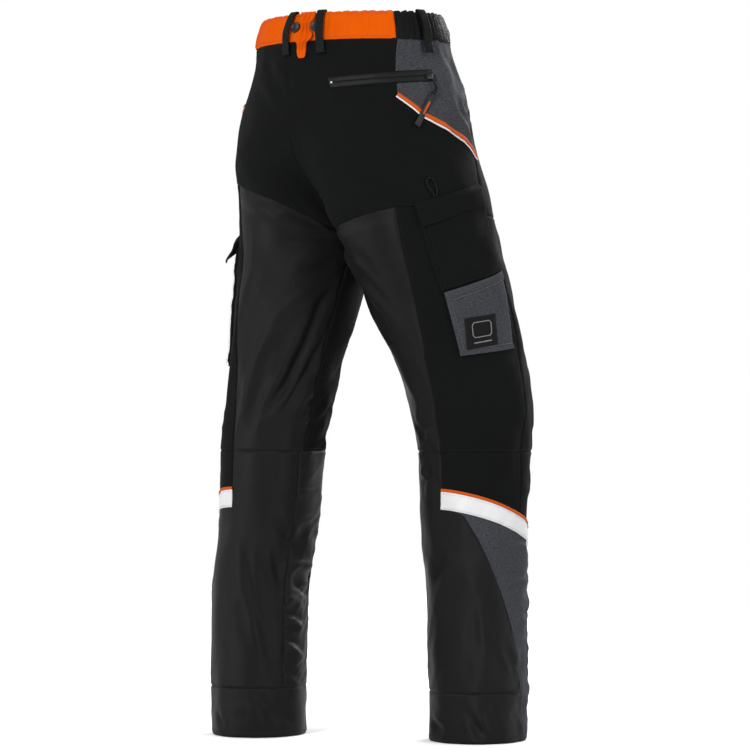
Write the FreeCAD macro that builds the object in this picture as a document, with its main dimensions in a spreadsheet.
import FreeCAD, Part
import Sketcher
import math
import os

# Chainsaw protective trousers, worn stance, right foot forward.
# Millimetres. +Z is up, the wearer faces -Y and the wearer's left is +X.
# The origin is the centre of the waist opening, level with the waistband's top edge.
# Heights are counted from the hem, so every height is lowered by origin_height.

SIZES = {
    # overall
    "origin_height": 1058.0,
    "cloth_thick": 3.0,
    "layer_gap": 0.3,
    "insert_thick": 5.0,
    "lining_thick": 1.5,
    # seam angles about a leg, 0 at the front and 90 at the outer side
    "front_seam_deg": 62.0,
    "yoke_seam_deg": 119.0,
    "outer_seam_deg": 87.0,
    "back_seam_deg": 168.0,
    "inner_seam_deg": 257.0,
    "front_inner_deg": 312.0,
    "calf_seam_deg": 112.0,
    "shin_seam_deg": 40.0,
    # waistband
    "elastic_back_deg": 119.0,
    "elastic_front_deg": 55.0,
    "loop_wide": 10.0,
    "loop_tall": 58.0,
    "loop_deep": 8.0,
    "loop_flare_side": 4.4,
    "loop_flare_back": 1.2,
    "loop_clear": 0.7,
    "loop_drop": 2.0,
    "strap_thick": 2.0,
    "tab_wide": 20.0,
    "tab_tall": 56.0,
    "tab_thick": 3.0,
    "tab_deg": 173.8,
    "tab_out": 3.6,
    "tab_drop": 2.0,
    "brace_button_radius": 7.5,
    "brace_button_thick": 3.0,
    "brace_button_height": 1036.5,
    "brace_button_out": 0.8,
    "button_dish_share": 0.72,
    "button_rim": 1.2,
    "waist_button_radius": 9.0,
    "waist_button_thick": 4.0,
    "waist_button_height": 1038.0,
    "waist_button_deg": -8.0,
    "waist_button_out": 1.0,
    # yoke edge and its piping
    "yoke_edge_height": 900.0,
    "yoke_slope_deg": 42.0,
    "piping_tall": 5.0,
    "piping_thick": 1.5,
    # fly
    "fly_low": 882.0,
    "fly_high": 1012.0,
    "fly_tape_wide": 26.0,
    "fly_tape_face": 126.5,
    "fly_tape_thick": 1.2,
    "fly_cover_wide": 44.0,
    "fly_cover_thick": 2.0,
    "fly_cover_side": 8.0,
    "fly_cover_drop": 8.0,
    "fly_slider_thick": 3.0,
    "fly_slider_tall": 12.0,
    "fly_slider_wide": 9.0,
    "fly_slider_round": 1.2,
    "fly_slider_drop": 2.0,
    # rear pocket zip, an arc about a nearly upright axis
    "zip_centre_x": -41.6,
    "zip_centre_y": -13.8,
    "zip_radius": 137.2,
    "zip_mid_height": 959.0,
    "zip_tilt_deg": 3.2,
    "zip_tilt_about_deg": 128.0,
    "zip_mid_deg": 134.6,
    "zip_sweep_deg": 65.0,
    "zip_slider_deg": 162.5,
    "zip_tape_tall": 15.0,
    "zip_tape_thick": 1.6,
    "zip_slider_long": 11.0,
    "zip_slider_tall": 9.0,
    "zip_slider_thick": 4.0,
    "zip_slider_round": 1.5,
    "zip_strip_root": 4.0,
    "zip_slider_clear": 1.9,
    "zip_lug_radius": 2.6,
    "zip_lug_long": 5.0,
    "pull_cord_thick": 2.4,
    "pull_tab_long": 50.0,
    "pull_tab_wide": 10.0,
    "pull_tab_thick": 2.6,
    "pull_tab_round": 1.2,
    "pull_face_deg": 98.0,
    # cargo pockets
    "pocket_front_deg": 72.0,
    "pocket_back_deg": 134.0,
    "pocket_gap": 0.6,
    "pocket_deep": 4.0,
    "pocket_low_right": 662.0,
    "pocket_high_right": 789.0,
    "pocket_low_left": 560.0,
    "pocket_high_left": 749.0,
    "flap_thick": 2.4,
    "flap_gap": 0.6,
    "flap_tall": 34.0,
    "flap_overhang_deg": 2.0,
    "pocket_rise_deg": 17.0,
    "flap_mid_right": 784.0,
    "flap_mid_left": 744.0,
    "loop_cord_thick": 2.2,
    # thigh patch and its label
    "patch_low": 563.0,
    "patch_high": 658.0,
    "patch_rise_deg": 14.0,
    "patch_front_deg": 79.0,
    "patch_back_deg": 134.0,
    "patch_gap": 0.2,
    "patch_thick": 2.0,
    "label_low": 572.0,
    "label_high": 617.0,
    "label_rise_deg": 10.0,
    "label_front_deg": 101.0,
    "label_back_deg": 127.0,
    "label_thick": 1.0,
    # reflective band around the calf
    "band_height": 333.5,
    "band_tall": 26.5,
    "band_slope_deg": 21.5,
    "band_gap": 0.1,
    "band_thick": 1.4,
    "band_piping_tall": 5.0,
    "band_piping_gap": 3.0,
    "band_back_deg": 176.0,
}

# Cross-sections, top to bottom: an ellipse for each leg, met at the midplane above the crotch.
# lean is the forward skew of the hips, in mm per mm sideways.
# name, height, lean, then centre x, centre y, half width and half depth of the right leg and of the left
SECTIONS = [
    ("top", 1058, 0.0, (0, 0, 152, 115), (0, 0, 152, 115)),
    ("band_low", 1017, 0.0, (0, 0, 156, 119), (0, 0, 156, 119)),
    ("hip", 930, 0.0, (28, 1, 162, 128), (22, 1, 158, 126)),
    ("seat", 850, 0.065, (64, -3, 130, 130), (62, 2, 116, 129)),
    ("fold", 790, 0.105, (92, -17, 114, 121), (80, 0, 99, 112)),
    ("crotch", 733, 0.15, (106, -27, 104, 114), (93, 1, 89, 102)),
    ("thigh", 640, 0.05, (118, -65, 101, 108), (97, 17, 90, 98)),
    ("lower", 530, 0.0, (140, -92, 91, 99), (112, 30, 79, 86)),
    ("above", 485, 0.0, (146, -99, 88, 95), (118, 33, 78, 83)),
    ("knee", 425, 0.0, (148, -103, 81, 86), (128, 35, 76, 80)),
    ("below", 371, 0.0, (147, -105, 79, 83), (132, 35, 75, 78)),
    ("calf", 330, 0.0, (145, -106, 78, 81), (136, 34, 73, 77)),
    ("shin", 200, 0.0, (148, -109, 72, 77), (148, 42, 70, 75)),
    ("cuff", 70, 0.0, (149, -111, 71, 75), (150, 42, 70, 74)),
    ("hem", 0, 0.0, (149, -110, 70, 74), (150, 42, 69, 73)),
]
ZONES = {
    "hip": ("band_low", "hip", "seat", "fold", "crotch"),
    "thigh": ("crotch", "thigh", "lower", "above"),
    "knee": ("above", "knee", "below"),
    "shin": ("below", "calf", "shin", "cuff"),
    "cuff": ("cuff", "hem"),
    "pocket": ("seat", "fold", "crotch", "thigh", "lower"),
    "band": ("knee", "below", "calf", "shin"),
}
PIE_AXIS = {"pocket": ("crotch", "lower")}
SIDES = {"right": -1, "left": 1}
HIP_INNER_DEG = 262  # where the front and the seat meet between the legs
REACH = 420.0        # longer than any zone, so that a cutter passes its ends
BELT_LOOP_DEG = (164, 187, 101, 259, 38, 322)
BRACE_BUTTON_DEG = (167.2, 180.4, 22, 46, 314, 338)

# Routes of the two cords, first point where each leaves the object
PULL_ROUTE = [(-180.9, 29.3, -99.9), (-184.0, 26.9, -106.9), (-187.5, 28.6, -115.0),
              (-188.8, 34.0, -121.4), (-187.9, 36.4, -125.7)]
PULL_TIP = (-179.2, 60.0, -168.8)
LOOP_ROUTE = [(-193.4, 33.4, -269.5), (-193.2, 31.8, -261.0), (-190.7, 32.6, -251.5),
              (-188.3, 37.0, -243.5), (-186.5, 42.5, -242.0), (-185.3, 47.5, -247.5),
              (-187.9, 45.2, -256.0), (-191.1, 38.9, -263.5), (-192.8, 36.9, -269.5)]

doc = FreeCAD.newDocument("trousers")
sheet = doc.addObject("Spreadsheet::Sheet", "Sizes")
sub_parts = []


def fill_sheet():
    cells = dict(SIZES)
    for name, height, lean, *legs in SECTIONS:
        cells[f"{name}_height"] = height
        cells[f"{name}_lean"] = lean
        for side, values in zip(SIDES, legs):
            for word, value in zip(("cx", "cy", "wide", "deep"), values):
                cells[f"{name}_{side}_{word}"] = value
    for row, (alias, value) in enumerate(cells.items(), start=1):
        sheet.set(f"A{row}", alias)
        sheet.set(f"B{row}", str(value))
        sheet.setAlias(f"B{row}", alias)
    doc.recompute()


def size(alias):
    return float(getattr(sheet, alias))


def up(height):
    """Height above the hem as a coordinate below the waistband's top edge."""
    return height - size("origin_height")


def direction(side, deg):
    """Unit vector pointing out of a leg at a seam angle."""
    angle = math.radians(deg)
    return FreeCAD.Vector(SIDES[side] * math.sin(angle), -math.cos(angle), 0)


def sheet_angle(side, deg):
    """Seam angle as an ordinary angle from +X."""
    return 270 + SIDES[side] * deg


def bind(obj, **expressions):
    for prop, expression in expressions.items():
        obj.setExpression(prop, expression)
    return obj


def keep(obj, node):
    obj.Label = node
    sub_parts.append(obj)
    return obj


def cut(name, base, tool):
    result = doc.addObject("Part::Cut", name)
    result.Base = base
    result.Tool = tool
    result.Refine = False
    return result


def common(name, first, second):
    result = doc.addObject("Part::Common", name)
    result.Base = first
    result.Tool = second
    result.Refine = False
    return result


def compound(name, pieces):
    result = doc.addObject("Part::Compound", name)
    result.Links = pieces
    return result


# ---------------------------------------------------------------- lofts and shells

def ellipse(level, side, offset, word):
    """Leg section, grown by offset; a leaning section is an ellipse with turned axes."""
    cell = f"Sizes.{level}_{side}"
    a = f"({cell}_wide+{offset})"
    b = f"({cell}_deep+{offset})"
    k = f"(Sizes.{level}_lean+0.0001)"
    total = f"({a}^2*(1+{k}^2)+{b}^2)"
    split = f"sqrt({total}^2-4*{a}^2*{b}^2)"
    obj = doc.addObject("Part::Ellipse", f"e_{level}_{side}_{word}")
    obj.Placement.Rotation = FreeCAD.Rotation(FreeCAD.Vector(0, 0, 1), 30)
    bind(obj, MajorRadius=f"sqrt(({total}+{split})/2)", MinorRadius=f"sqrt(({total}-{split})/2)")
    obj.setExpression("Placement.Base.x", f"{SIDES[side]}*{cell}_cx")
    obj.setExpression("Placement.Base.y", f"{cell}_cy")
    obj.setExpression("Placement.Base.z", f"Sizes.{level}_height-Sizes.origin_height")
    obj.setExpression("Placement.Rotation.Angle",
                      f"0.5*atan2(2*{k}*{a}^2; {a}^2*(1-{k}^2)-{b}^2)")
    return obj


def loft(zone, side, offset, word):
    """Solid through a zone's sections, grown by offset, given as an expression."""
    obj = doc.addObject("Part::Loft", f"loft_{zone}_{side}_{word}")
    obj.Sections = [ellipse(level, side, offset, f"{zone}_{word}") for level in ZONES[zone]]
    obj.Solid = True
    obj.Ruled = True
    return obj


def layer(zone, side, outer, inner, word):
    """Closed tube between two offsets of a zone's surface; the hips end at the midplane."""
    solid = loft(zone, side, outer, f"{word}_out")
    hollow = loft(zone, side, inner, f"{word}_in")
    if zone == "hip":
        half = doc.addObject("Part::Box", f"half_{side}_{word}")
        half.Length = REACH
        half.Width = 2 * REACH
        half.Height = REACH
        corner_x = -REACH if side == "right" else 0
        half.Placement.Base = FreeCAD.Vector(corner_x, -REACH, up(size("crotch_height")) - 40)
        solid = common(f"halved_{side}_{word}", solid, half)
    return cut(f"tube_{zone}_{side}_{word}", solid, hollow)


def sector(name, side, zone, start, end):
    """Pie-slice cutter between two seam angles, along the zone's own axis."""
    first, last = PIE_AXIS.get(zone, (ZONES[zone][0], ZONES[zone][-1]))
    ends = []
    for level in (last, first):
        cx = SIDES[side] * size(f"{level}_{side}_cx")
        ends.append(FreeCAD.Vector(cx, size(f"{level}_{side}_cy"), up(size(f"{level}_height"))))
    if zone == "hip":
        mid_x = SIDES[side] * size(f"seat_{side}_cx")
        ends = [FreeCAD.Vector(mid_x, size(f"seat_{side}_cy"), v.z) for v in ends]
    axis = ends[1] - ends[0]
    axis.normalize()
    from_deg, to_deg = sorted((sheet_angle(side, start), sheet_angle(side, end)))
    obj = doc.addObject("Part::Cylinder", name)
    obj.Radius = REACH
    obj.Height = (ends[1] - ends[0]).Length + REACH
    obj.Angle = to_deg - from_deg
    lean = FreeCAD.Rotation(FreeCAD.Vector(0, 0, 1), axis)
    spin = FreeCAD.Rotation(FreeCAD.Vector(0, 0, 1), from_deg)
    obj.Placement = FreeCAD.Placement(ends[0] - axis * (REACH / 2), lean.multiply(spin))
    return obj


def slab(name, centre, tall, slope_deg, turn_deg=0.0):
    """Level slice of space, then sloped about X and turned about Z."""
    obj = doc.addObject("Part::Box", name)
    obj.Length = 2 * REACH
    obj.Width = 2 * REACH
    bind(obj, Height=tall)
    tilt = FreeCAD.Rotation(FreeCAD.Vector(1, 0, 0), slope_deg)
    turn = FreeCAD.Rotation(FreeCAD.Vector(0, 0, 1), turn_deg)
    spin = turn.multiply(tilt)
    corner = spin.multVec(FreeCAD.Vector(-REACH, -REACH, 0))
    obj.Placement = FreeCAD.Placement(centre + corner, spin)
    return obj


# ---------------------------------------------------------------- cloth of the legs

CLOTH = ("0", "-Sizes.cloth_thick")
INSERT = ("-Sizes.cloth_thick-Sizes.layer_gap",
          "-Sizes.cloth_thick-Sizes.layer_gap-Sizes.insert_thick")
LINING = ("-Sizes.cloth_thick-2*Sizes.layer_gap-Sizes.insert_thick",
          "-Sizes.cloth_thick-2*Sizes.layer_gap-Sizes.insert_thick-Sizes.lining_thick")


def panels(zone, side, cuts):
    """Cloth panels of a zone, cut apart at the seam angles."""
    tube = layer(zone, side, *CLOTH, "cloth")
    for name, start, end in cuts:
        pie = sector(f"pie_{side}_{name}", side, zone, start, end)
        keep(common(f"panel_{side}_{name}", tube, pie), f"{side}_{name}")


def leg(side, below_yoke):
    """Panels, inserts and linings of a leg; the outer thigh panel runs up to the yoke."""
    front = size("front_seam_deg")
    outer, back = size("outer_seam_deg"), size("back_seam_deg")
    inner, front_inner = size("inner_seam_deg"), size("front_inner_deg")
    calf, shin = size("calf_seam_deg"), size("shin_seam_deg")
    panels("thigh", side, [
        ("front_thigh_panel", front_inner - 360, front),
        ("back_thigh_panel", back, inner),
        ("inner_thigh_panel", inner, front_inner),
    ])
    tube = layer("thigh", side, *CLOTH, "outer")
    pie = sector(f"pie_{side}_outer", side, "thigh", front, back)
    joined = doc.addObject("Part::Fuse", f"outer_thigh_{side}")
    joined.Base = common(f"outer_{side}", tube, pie)
    joined.Tool = below_yoke
    joined.Refine = False
    keep(joined, f"{side}_outer_thigh_panel")
    panels("shin", side, [
        ("shin_front_panel", front_inner - 360, shin),
        ("shin_side_panel", shin, calf),
        ("calf_panel", calf, front_inner),
    ])
    keep(layer("knee", side, *CLOTH, "cloth"), f"{side}_knee_sleeve")
    keep(layer("cuff", side, *CLOTH, "cloth"), f"{side}_kick_panel")
    for zone in ("thigh", "shin"):
        pad = layer(zone, side, *INSERT, "insert")
        pie = sector(f"pie_{side}_{zone}_insert", side, zone, front_inner - 375, outer + 20)
        keep(common(f"pad_{side}_{zone}", pad, pie), f"{side}_{zone}_protective_insert")
    keep(layer("shin", side, *LINING, "lining"), f"{side}_shin_lining")


def thigh_lining():
    tubes = [layer("thigh", side, *LINING, "lining") for side in SIDES]
    keep(compound("thigh_lining", tubes), "thigh_lining")


def hips(side):
    """Front, side yoke and seat panels, the piping on the yoke's edge and the hip lining."""
    front, yoke = size("front_seam_deg"), size("yoke_seam_deg")
    tube = layer("hip", side, *CLOTH, "cloth")
    pie = sector(f"pie_{side}_front", side, "hip", HIP_INNER_DEG - 360, front)
    keep(common(f"panel_{side}_front", tube, pie), f"{side}_front_panel")
    pie = sector(f"pie_{side}_seat", side, "hip", yoke, HIP_INNER_DEG)
    keep(common(f"panel_{side}_seat", tube, pie), f"{side}_seat_panel")
    middle = sector(f"pie_{side}_middle", side, "hip", front, yoke)
    strip = common(f"strip_{side}", tube, middle)
    hip_x = SIDES[side] * size("seat_" + side + "_cx")
    edge = FreeCAD.Vector(hip_x, 0, up(size("yoke_edge_height")))
    above = slab(f"above_{side}", edge, str(REACH), size("yoke_slope_deg"))
    keep(common(f"yoke_{side}", strip, above), f"{side}_hip_yoke")
    below = cut(f"below_{side}", strip, above)
    proud = layer("hip", side, "Sizes.piping_thick", "0", "piping")
    ring = common(f"piping_ring_{side}", proud, middle)
    line = slab(f"piping_line_{side}", edge, "Sizes.piping_tall", size("yoke_slope_deg"))
    keep(common(f"piping_{side}", ring, line), f"{side}_yoke_piping")
    return below


# ---------------------------------------------------------------- waistband and what is on it

def waist_ring():
    parts = []
    for word, offset in (("out", "0"), ("in", "-Sizes.cloth_thick")):
        sections = [ellipse(level, "right", offset, f"band_{word}") for level in ("top", "band_low")]
        obj = doc.addObject("Part::Loft", f"loft_band_{word}")
        obj.Sections = sections
        obj.Solid = True
        obj.Ruled = True
        parts.append(obj)
    return cut("waist_ring", *parts)


def waist_pie(name, start, end):
    from_deg, to_deg = sorted((sheet_angle("right", start), sheet_angle("right", end)))
    obj = doc.addObject("Part::Cylinder", name)
    obj.Radius = REACH
    obj.Height = REACH
    obj.Angle = to_deg - from_deg
    spin = FreeCAD.Rotation(FreeCAD.Vector(0, 0, 1), from_deg)
    centre = FreeCAD.Vector(0, size("top_right_cy"), -REACH / 2)
    obj.Placement = FreeCAD.Placement(centre, spin)
    return obj


def waistband():
    ring = waist_ring()
    back, front = size("elastic_back_deg"), size("elastic_front_deg")
    pieces = [
        ("waistband_back", back, 360 - back),
        ("right_waistband_elastic", front, back),
        ("left_waistband_elastic", 360 - back, 360 - front),
        ("right_waistband_front", 0, front),
        ("left_waistband_front", 360 - front, 360),
    ]
    for name, start, end in pieces:
        keep(common(f"band_{name}", ring, waist_pie(f"pie_{name}", start, end)), name)


def on_waist(deg, height, out):
    """Place on the waistband at an angle: local X runs around, local Y points out."""
    angle = math.radians(deg)
    share = (height - size("band_low_height")) / (size("top_height") - size("band_low_height"))
    a, b = (size(f"band_low_right_{word}") * (1 - share) + size(f"top_right_{word}") * share
            for word in ("wide", "deep"))
    normal = FreeCAD.Vector(-math.sin(angle) / a, -math.cos(angle) / b, 0)
    normal.normalize()
    point = FreeCAD.Vector(-a * math.sin(angle), size("top_right_cy") - b * math.cos(angle), 0)
    point = point + normal * out
    point.z = up(height)
    return FreeCAD.Placement(point, FreeCAD.Rotation(FreeCAD.Vector(0, 1, 0), normal))


def belt_loops():
    """Belt loops, each leaning in with the hips so that its foot stands on the panel below."""
    loops = []
    low = size("origin_height") - size("loop_tall") + size("loop_drop")
    taper = size("loop_tall") * (size("band_low_right_wide") - size("top_right_wide"))
    taper = taper / (size("top_height") - size("band_low_height")) - size("loop_clear")
    for number, deg in enumerate(BELT_LOOP_DEG):
        flare = size("loop_flare_side") * abs(math.sin(math.radians(deg))) + size("loop_flare_back")
        place = on_waist(deg, low, flare)
        lean = math.degrees(math.asin((flare + taper) / size("loop_tall")))
        place.Rotation = place.Rotation.multiply(FreeCAD.Rotation(FreeCAD.Vector(1, 0, 0), lean))
        side_shift = place.Rotation.multVec(FreeCAD.Vector(-size("loop_wide") / 2, 0, 0))
        block = doc.addObject("Part::Box", f"loop_block_{number}")
        bind(block, Length="Sizes.loop_wide", Width="Sizes.loop_deep", Height="Sizes.loop_tall")
        block.Placement = FreeCAD.Placement(place.Base + side_shift, place.Rotation)
        slot = doc.addObject("Part::Box", f"loop_slot_{number}")
        bind(slot, Length="Sizes.loop_wide+2", Width="Sizes.loop_deep",
             Height="Sizes.loop_tall-4*Sizes.strap_thick")
        inside = FreeCAD.Vector(-size("loop_wide") / 2 - 1, -size("strap_thick"),
                                2 * size("strap_thick"))
        slot.Placement = FreeCAD.Placement(place.Base + place.Rotation.multVec(inside),
                                           place.Rotation)
        loops.append(cut(f"loop_{number}", block, slot))
    keep(compound("belt_loops", loops), "belt_loops")


def back_tab():
    body = doc.addObject("PartDesign::Body", "center_back_tab")
    sketch = rectangle_sketch(body, "tab_outline", "Sizes.tab_wide", "Sizes.tab_tall", "XZ_Plane")
    pad = body.newObject("PartDesign::Pad", "tab_pad")
    pad.Profile = sketch
    bind(pad, Length="Sizes.tab_thick")
    pad.Reversed = True
    height = size("origin_height") - size("tab_tall") / 2 - size("tab_drop")
    body.Placement = on_waist(size("tab_deg"), height, size("tab_out"))
    keep(body, "center_back_tab")


def plane(body, role):
    return next(f for f in body.Origin.OriginFeatures if f.Role == role)


def rectangle_sketch(body, name, wide, tall, role):
    """Rectangle centred on the body's origin, with its sides bound to the sheet."""
    sketch = body.newObject("Sketcher::SketchObject", name)
    sketch.AttachmentSupport = (plane(body, role), [""])
    sketch.MapMode = "FlatFace"
    corners = [(-5, -5), (5, -5), (5, 5), (-5, 5)]
    for index in range(4):
        start = FreeCAD.Vector(*corners[index], 0)
        end = FreeCAD.Vector(*corners[(index + 1) % 4], 0)
        sketch.addGeometry(Part.LineSegment(start, end), False)
    sketch.addConstraint([Sketcher.Constraint("Coincident", i, 2, (i + 1) % 4, 1) for i in range(4)])
    sketch.addConstraint([Sketcher.Constraint("Horizontal", 0), Sketcher.Constraint("Horizontal", 2),
                          Sketcher.Constraint("Vertical", 1), Sketcher.Constraint("Vertical", 3)])
    sketch.addConstraint(Sketcher.Constraint("Symmetric", 0, 1, 2, 1, -1, 1))
    wide_index = sketch.addConstraint(Sketcher.Constraint("DistanceX", 0, 1, 0, 2, 10))
    tall_index = sketch.addConstraint(Sketcher.Constraint("DistanceY", 1, 1, 1, 2, 10))
    sketch.setExpression(f"Constraints[{wide_index}]", wide)
    sketch.setExpression(f"Constraints[{tall_index}]", tall)
    return sketch


def button(name, radius, thick, place):
    """Round sewn button: a dished disc with a raised rim."""
    disc = doc.addObject("Part::Cylinder", f"{name}_disc")
    bind(disc, Radius=radius, Height=thick)
    dish = doc.addObject("Part::Cylinder", f"{name}_dish")
    bind(dish, Radius=f"{radius}*Sizes.button_dish_share", Height=thick)
    lying = FreeCAD.Rotation(FreeCAD.Vector(1, 0, 0), -90)
    disc.Placement = place.multiply(FreeCAD.Placement(FreeCAD.Vector(), lying))
    depth = FreeCAD.Vector(0, disc.Height.Value - size("button_rim"), 0)
    dish.Placement = place.multiply(FreeCAD.Placement(depth, lying))
    return cut(name, disc, dish)


def buttons():
    pieces = []
    for number, deg in enumerate(BRACE_BUTTON_DEG):
        place = on_waist(deg, size("brace_button_height"), size("brace_button_out"))
        pieces.append(button(f"brace_button_{number}", "Sizes.brace_button_radius",
                             "Sizes.brace_button_thick", place))
    keep(compound("brace_buttons", pieces), "brace_buttons")
    place = on_waist(size("waist_button_deg"), size("waist_button_height"), size("waist_button_out"))
    keep(button("waist_button", "Sizes.waist_button_radius", "Sizes.waist_button_thick", place),
         "waist_button")


# ---------------------------------------------------------------- fly

def upright_box(name, wide, thick, tall, x, y, z):
    obj = doc.addObject("Part::Box", name)
    bind(obj, Length=wide, Width=thick, Height=tall)
    obj.Placement.Base = FreeCAD.Vector(x, y, z)
    return obj


def fly():
    low, high = up(size("fly_low")), up(size("fly_high"))
    face = -size("fly_tape_face") - size("fly_tape_thick")
    tall = "Sizes.fly_high-Sizes.fly_low"
    tape = upright_box("fly_tape_blank", "Sizes.fly_tape_wide", "Sizes.fly_tape_thick", tall,
                       -size("fly_tape_wide") / 2, face, low)
    keep(tape, "fly_zip_tape")
    slider_y = face - size("layer_gap") - size("fly_slider_thick")
    slider = upright_box("fly_slider_blank", "Sizes.fly_slider_wide", "Sizes.fly_slider_thick",
                         "Sizes.fly_slider_tall", -size("fly_slider_wide") / 2, slider_y,
                         high - size("fly_slider_tall") - size("fly_slider_drop"))
    rounded = doc.addObject("Part::Fillet", "fly_slider")
    rounded.Base = slider
    radius = size("fly_slider_round")
    rounded.Edges = [(edge, radius, radius) for edge in (1, 3, 5, 7)]
    keep(rounded, "fly_zip_slider")
    cover_y = slider_y - size("layer_gap") * 2 - size("fly_cover_thick")
    cover = upright_box("fly_cover_blank", "Sizes.fly_cover_wide", "Sizes.fly_cover_thick",
                        tall + "+Sizes.fly_cover_drop", -size("fly_cover_side"), cover_y,
                        low - size("fly_cover_drop"))
    keep(cover, "fly_cover")


# ---------------------------------------------------------------- rear pocket zip

def zip_frame():
    """Axis of the rear zip's arc: nearly upright, leaning so that the arc rises to the front."""
    across = direction("right", size("zip_tilt_about_deg"))
    lean = FreeCAD.Rotation(across, size("zip_tilt_deg"))
    centre = FreeCAD.Vector(size("zip_centre_x"), size("zip_centre_y"), up(size("zip_mid_height")))
    return FreeCAD.Placement(centre, lean)


def arc_strip(name, inner, thick, tall, start, sweep):
    frame = zip_frame()
    parts = []
    for word, radius in (("out", f"{inner}+{thick}"), ("in", inner)):
        obj = doc.addObject("Part::Cylinder", f"{name}_{word}")
        bind(obj, Radius=radius, Height=tall)
        obj.Angle = sweep if word == "out" else 360
        spin = FreeCAD.Rotation(FreeCAD.Vector(0, 0, 1), start)
        obj.Placement = frame.multiply(FreeCAD.Placement(FreeCAD.Vector(0, 0, 0), spin))
        obj.setExpression("Placement.Base.z", f"{obj.Placement.Base.z}-({tall})/2")
        parts.append(obj)
    return cut(name, *parts)


def on_zip(deg, out, rise=0.0):
    """Place on the zip's arc: local X points out, local Y runs to the front."""
    frame = zip_frame()
    spin = FreeCAD.Rotation(FreeCAD.Vector(0, 0, 1), deg)
    spot = FreeCAD.Placement(FreeCAD.Vector(size("zip_radius") + out, 0, rise), FreeCAD.Rotation())
    return frame.multiply(FreeCAD.Placement(FreeCAD.Vector(), spin)).multiply(spot)


def rear_zip():
    start, sweep = size("zip_mid_deg") - size("zip_sweep_deg") / 2, size("zip_sweep_deg")
    strip = arc_strip("zip_strip", "Sizes.zip_radius-Sizes.zip_strip_root",
                      "Sizes.zip_tape_thick+Sizes.zip_strip_root", "Sizes.zip_tape_tall", start,
                      sweep)
    hip_solid = loft("hip", "right", "Sizes.layer_gap", "under_zip")
    keep(cut("rear_zip", strip, hip_solid), "rear_pocket_zip_tape")


def rear_slider():
    """Slider with a lug in the middle of its face, clear of the tape."""
    wide, tall, thick = size("zip_slider_long"), size("zip_slider_tall"), size("zip_slider_thick")
    place = on_zip(size("zip_slider_deg"), size("zip_tape_thick") + size("zip_slider_clear"))
    block = doc.addObject("Part::Box", "rear_slider_block")
    bind(block, Length="Sizes.zip_slider_thick", Width="Sizes.zip_slider_long",
         Height="Sizes.zip_slider_tall")
    corner = FreeCAD.Placement(FreeCAD.Vector(0, -wide / 2, -tall / 2), FreeCAD.Rotation())
    block.Placement = place.multiply(corner)
    rounded = doc.addObject("Part::Fillet", "rear_slider_rounded")
    rounded.Base = block
    radius = size("zip_slider_round")
    rounded.Edges = [(edge, radius, radius) for edge in (5, 6, 7, 8)]
    lug = doc.addObject("Part::Cylinder", "rear_slider_lug")
    bind(lug, Radius="Sizes.zip_lug_radius", Height="Sizes.zip_lug_long")
    lying = FreeCAD.Rotation(FreeCAD.Vector(1, 0, 0), -90)
    middle = FreeCAD.Vector(thick, -size("zip_lug_long") / 2, 0)
    lug.Placement = place.multiply(FreeCAD.Placement(middle, lying))
    joined = doc.addObject("Part::Fuse", "rear_zip_slider")
    joined.Base = rounded
    joined.Tool = lug
    keep(joined, "rear_zip_slider")


def tube_along(name, route, thick):
    """Round cord along straight runs joined by arcs as large as the runs allow."""
    points = [FreeCAD.Vector(*point) for point in route]
    edges = []
    start = points[0]
    for before, corner, after in zip(points, points[1:], points[2:]):
        come, leave = (corner - before), (after - corner)
        run = min(come.Length, leave.Length)
        turn = come.getAngle(leave)
        reach = 0.45 * run
        radius = reach / math.tan(turn / 2)
        print(f"{name}: turn {math.degrees(turn):.0f} degrees, radius {radius:.1f} mm")
        come.normalize()
        leave.normalize()
        first, last = corner - come * reach, corner + leave * reach
        inward = leave - come
        inward.normalize()
        middle = corner + inward * (radius / math.cos(turn / 2) - radius)
        edges.append(Part.makeLine(start, first))
        edges.append(Part.Arc(first, middle, last).toShape())
        start = last
    edges.append(Part.makeLine(start, points[-1]))
    path = Part.Wire(edges)
    circle = Part.makeCircle(thick / 2, points[0], points[1] - points[0])
    shape = path.makePipeShell([Part.Wire([circle])], True, False)
    expected = math.pi * (thick / 2) ** 2 * path.Length
    print(f"{name}: length {path.Length:.1f} mm, volume {shape.Volume:.1f} of {expected:.1f} mm3")
    feature = doc.addObject("Part::Feature", name)
    feature.Shape = shape
    feature.Placement = FreeCAD.Placement()
    return keep(feature, name)


def zip_pull():
    """Cord from the slider's lug and the moulded tab on its end, lying on the hip."""
    tube_along("rear_zip_cord", PULL_ROUTE, size("pull_cord_thick"))
    top, tip = FreeCAD.Vector(*PULL_ROUTE[-1]), FreeCAD.Vector(*PULL_TIP)
    down = tip - top
    down.normalize()
    out = direction("right", size("pull_face_deg"))
    out = out - down * out.dot(down)
    out.normalize()
    across = down.cross(out)
    turn = FreeCAD.Rotation(across, out, down, "ZYX")
    tab = doc.addObject("Part::Box", "pull_tab_block")
    bind(tab, Length="Sizes.pull_tab_wide", Width="Sizes.pull_tab_thick", Height="Sizes.pull_tab_long")
    corner = turn.multVec(FreeCAD.Vector(-size("pull_tab_wide") / 2, -size("pull_tab_thick") / 2, 0))
    tab.Placement = FreeCAD.Placement(top + corner, turn)
    rounded = doc.addObject("Part::Fillet", "rear_zip_pull_tab")
    rounded.Base = tab
    radius = size("pull_tab_round")
    rounded.Edges = [(edge, radius, radius) for edge in range(1, 13)]
    keep(rounded, "rear_zip_pull_tab")


# ---------------------------------------------------------------- pockets, patch and bands

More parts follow.
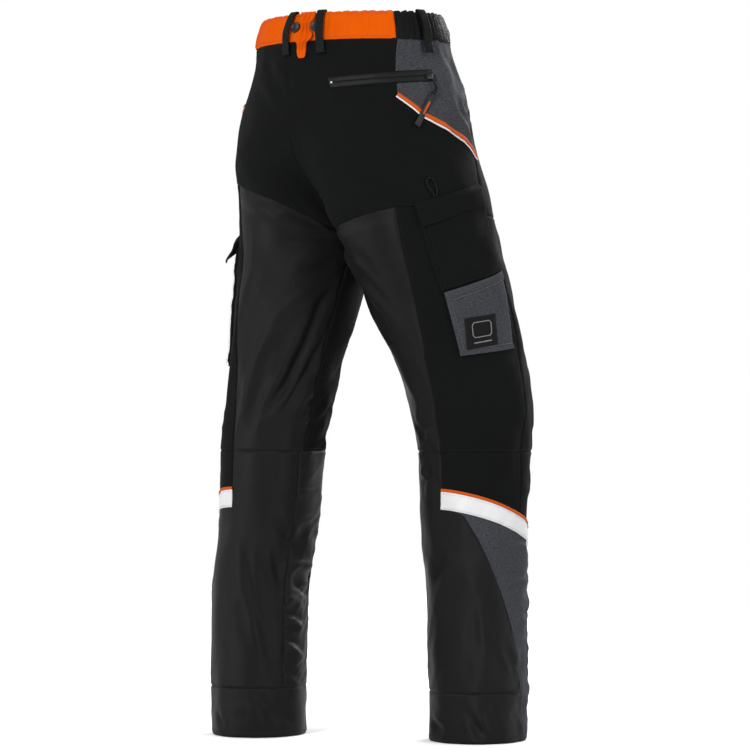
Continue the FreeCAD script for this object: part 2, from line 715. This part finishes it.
def proud_patch(name, node, side, zone, inner, outer, angles, heights, slope_deg=0.0):
    """Piece lying on the cloth between two seam angles and two heights."""
    ring = layer(zone, side, outer, inner, name)
    pie = sector(f"pie_{name}_{side}", side, zone, *angles)
    low, tall = heights
    centre = FreeCAD.Vector(SIDES[side] * size(f"thigh_{side}_cx"), size(f"fold_{side}_cy"), low)
    level = slab(f"level_{name}_{side}", centre, tall, slope_deg)
    keep(common(f"{name}_{side}", common(f"{name}_pie_{side}", ring, pie), level), node)


def cargo_pocket(side):
    angles = (size("pocket_front_deg"), size("pocket_back_deg"))
    low = up(size(f"pocket_low_{side}"))
    rise = -size("pocket_rise_deg")
    tall = f"Sizes.pocket_high_{side}-Sizes.pocket_low_{side}"
    proud_patch("pocket", f"{side}_cargo_pocket", side, "pocket", "Sizes.pocket_gap",
                "Sizes.pocket_deep", angles, (low, tall), rise)
    inner = "Sizes.pocket_deep+Sizes.flap_gap"
    overhang = size("flap_overhang_deg")
    angles = (angles[0] - overhang, angles[1] + overhang)
    flap_low = up(size(f"flap_mid_{side}")) - size("flap_tall") / 2
    proud_patch("flap", f"{side}_cargo_flap", side, "pocket", inner, f"{inner}+Sizes.flap_thick",
                angles, (flap_low, "Sizes.flap_tall"), rise)


def patch():
    angles = (size("patch_front_deg"), size("patch_back_deg"))
    proud_patch("patch", "right_pocket_patch", "right", "pocket", "Sizes.patch_gap",
                "Sizes.patch_thick", angles,
                (up(size("patch_low")), "Sizes.patch_high-Sizes.patch_low"),
                -size("patch_rise_deg"))
    angles = (size("label_front_deg"), size("label_back_deg"))
    proud_patch("label", "patch_label", "right", "pocket", "Sizes.patch_thick",
                "Sizes.patch_thick+Sizes.label_thick", angles,
                (up(size("label_low")), "Sizes.label_high-Sizes.label_low"),
                -size("label_rise_deg"))


def calf_band(side):
    """Reflective band around the calf, higher at the back, with piping along its top."""
    centre = FreeCAD.Vector(0, size(f"below_{side}_cy"), up(size("band_height") - size("band_tall")))
    angles = (size("front_inner_deg") - 360, size("band_back_deg"))
    outer_half = sector(f"pie_{side}_calf_band", side, "band", *angles)
    white = common(f"band_tape_{side}", layer("band", side, "Sizes.band_thick", "Sizes.band_gap", "white"),
                   outer_half)
    belt = slab(f"band_belt_{side}", centre, "Sizes.band_tall", size("band_slope_deg"))
    keep(common(f"band_{side}", white, belt), f"{side}_reflective_band")
    cord = common(f"band_cord_{side}",
                  layer("band", side, "Sizes.piping_thick", "Sizes.band_gap", "band_piping"),
                  outer_half)
    above = centre + FreeCAD.Vector(0, 0, size("band_tall") + size("band_piping_gap"))
    line = slab(f"band_line_{side}", above, "Sizes.band_piping_tall", size("band_slope_deg"))
    keep(common(f"band_piping_{side}", cord, line), f"{side}_band_piping")


fill_sheet()
waistband()
belt_loops()
back_tab()
buttons()
for wearer_side in SIDES:
    leg(wearer_side, hips(wearer_side))
    cargo_pocket(wearer_side)
    calf_band(wearer_side)
thigh_lining()
fly()
rear_zip()
rear_slider()
zip_pull()
patch()
tube_along("flap_cord_loop", LOOP_ROUTE, size("loop_cord_thick"))
doc.recompute()

os.makedirs("parts", exist_ok=True)
for obj in doc.Objects:
    if "Invalid" in obj.State or "Error" in obj.State:
        raise RuntimeError(f"{obj.Name} did not compute: {obj.State}")
for obj in sub_parts:
    shape = obj.Shape
    if shape.isNull() or not shape.isValid():
        raise RuntimeError(f"{obj.Label} has no valid shape")
    print(f"{obj.Label:38s} solids {len(shape.Solids)}  volume {shape.Volume / 1000:9.2f} cm3")
    obj.Shape.exportStep(f"parts/{obj.Label}.step")
print(len(sub_parts), "sub-parts")
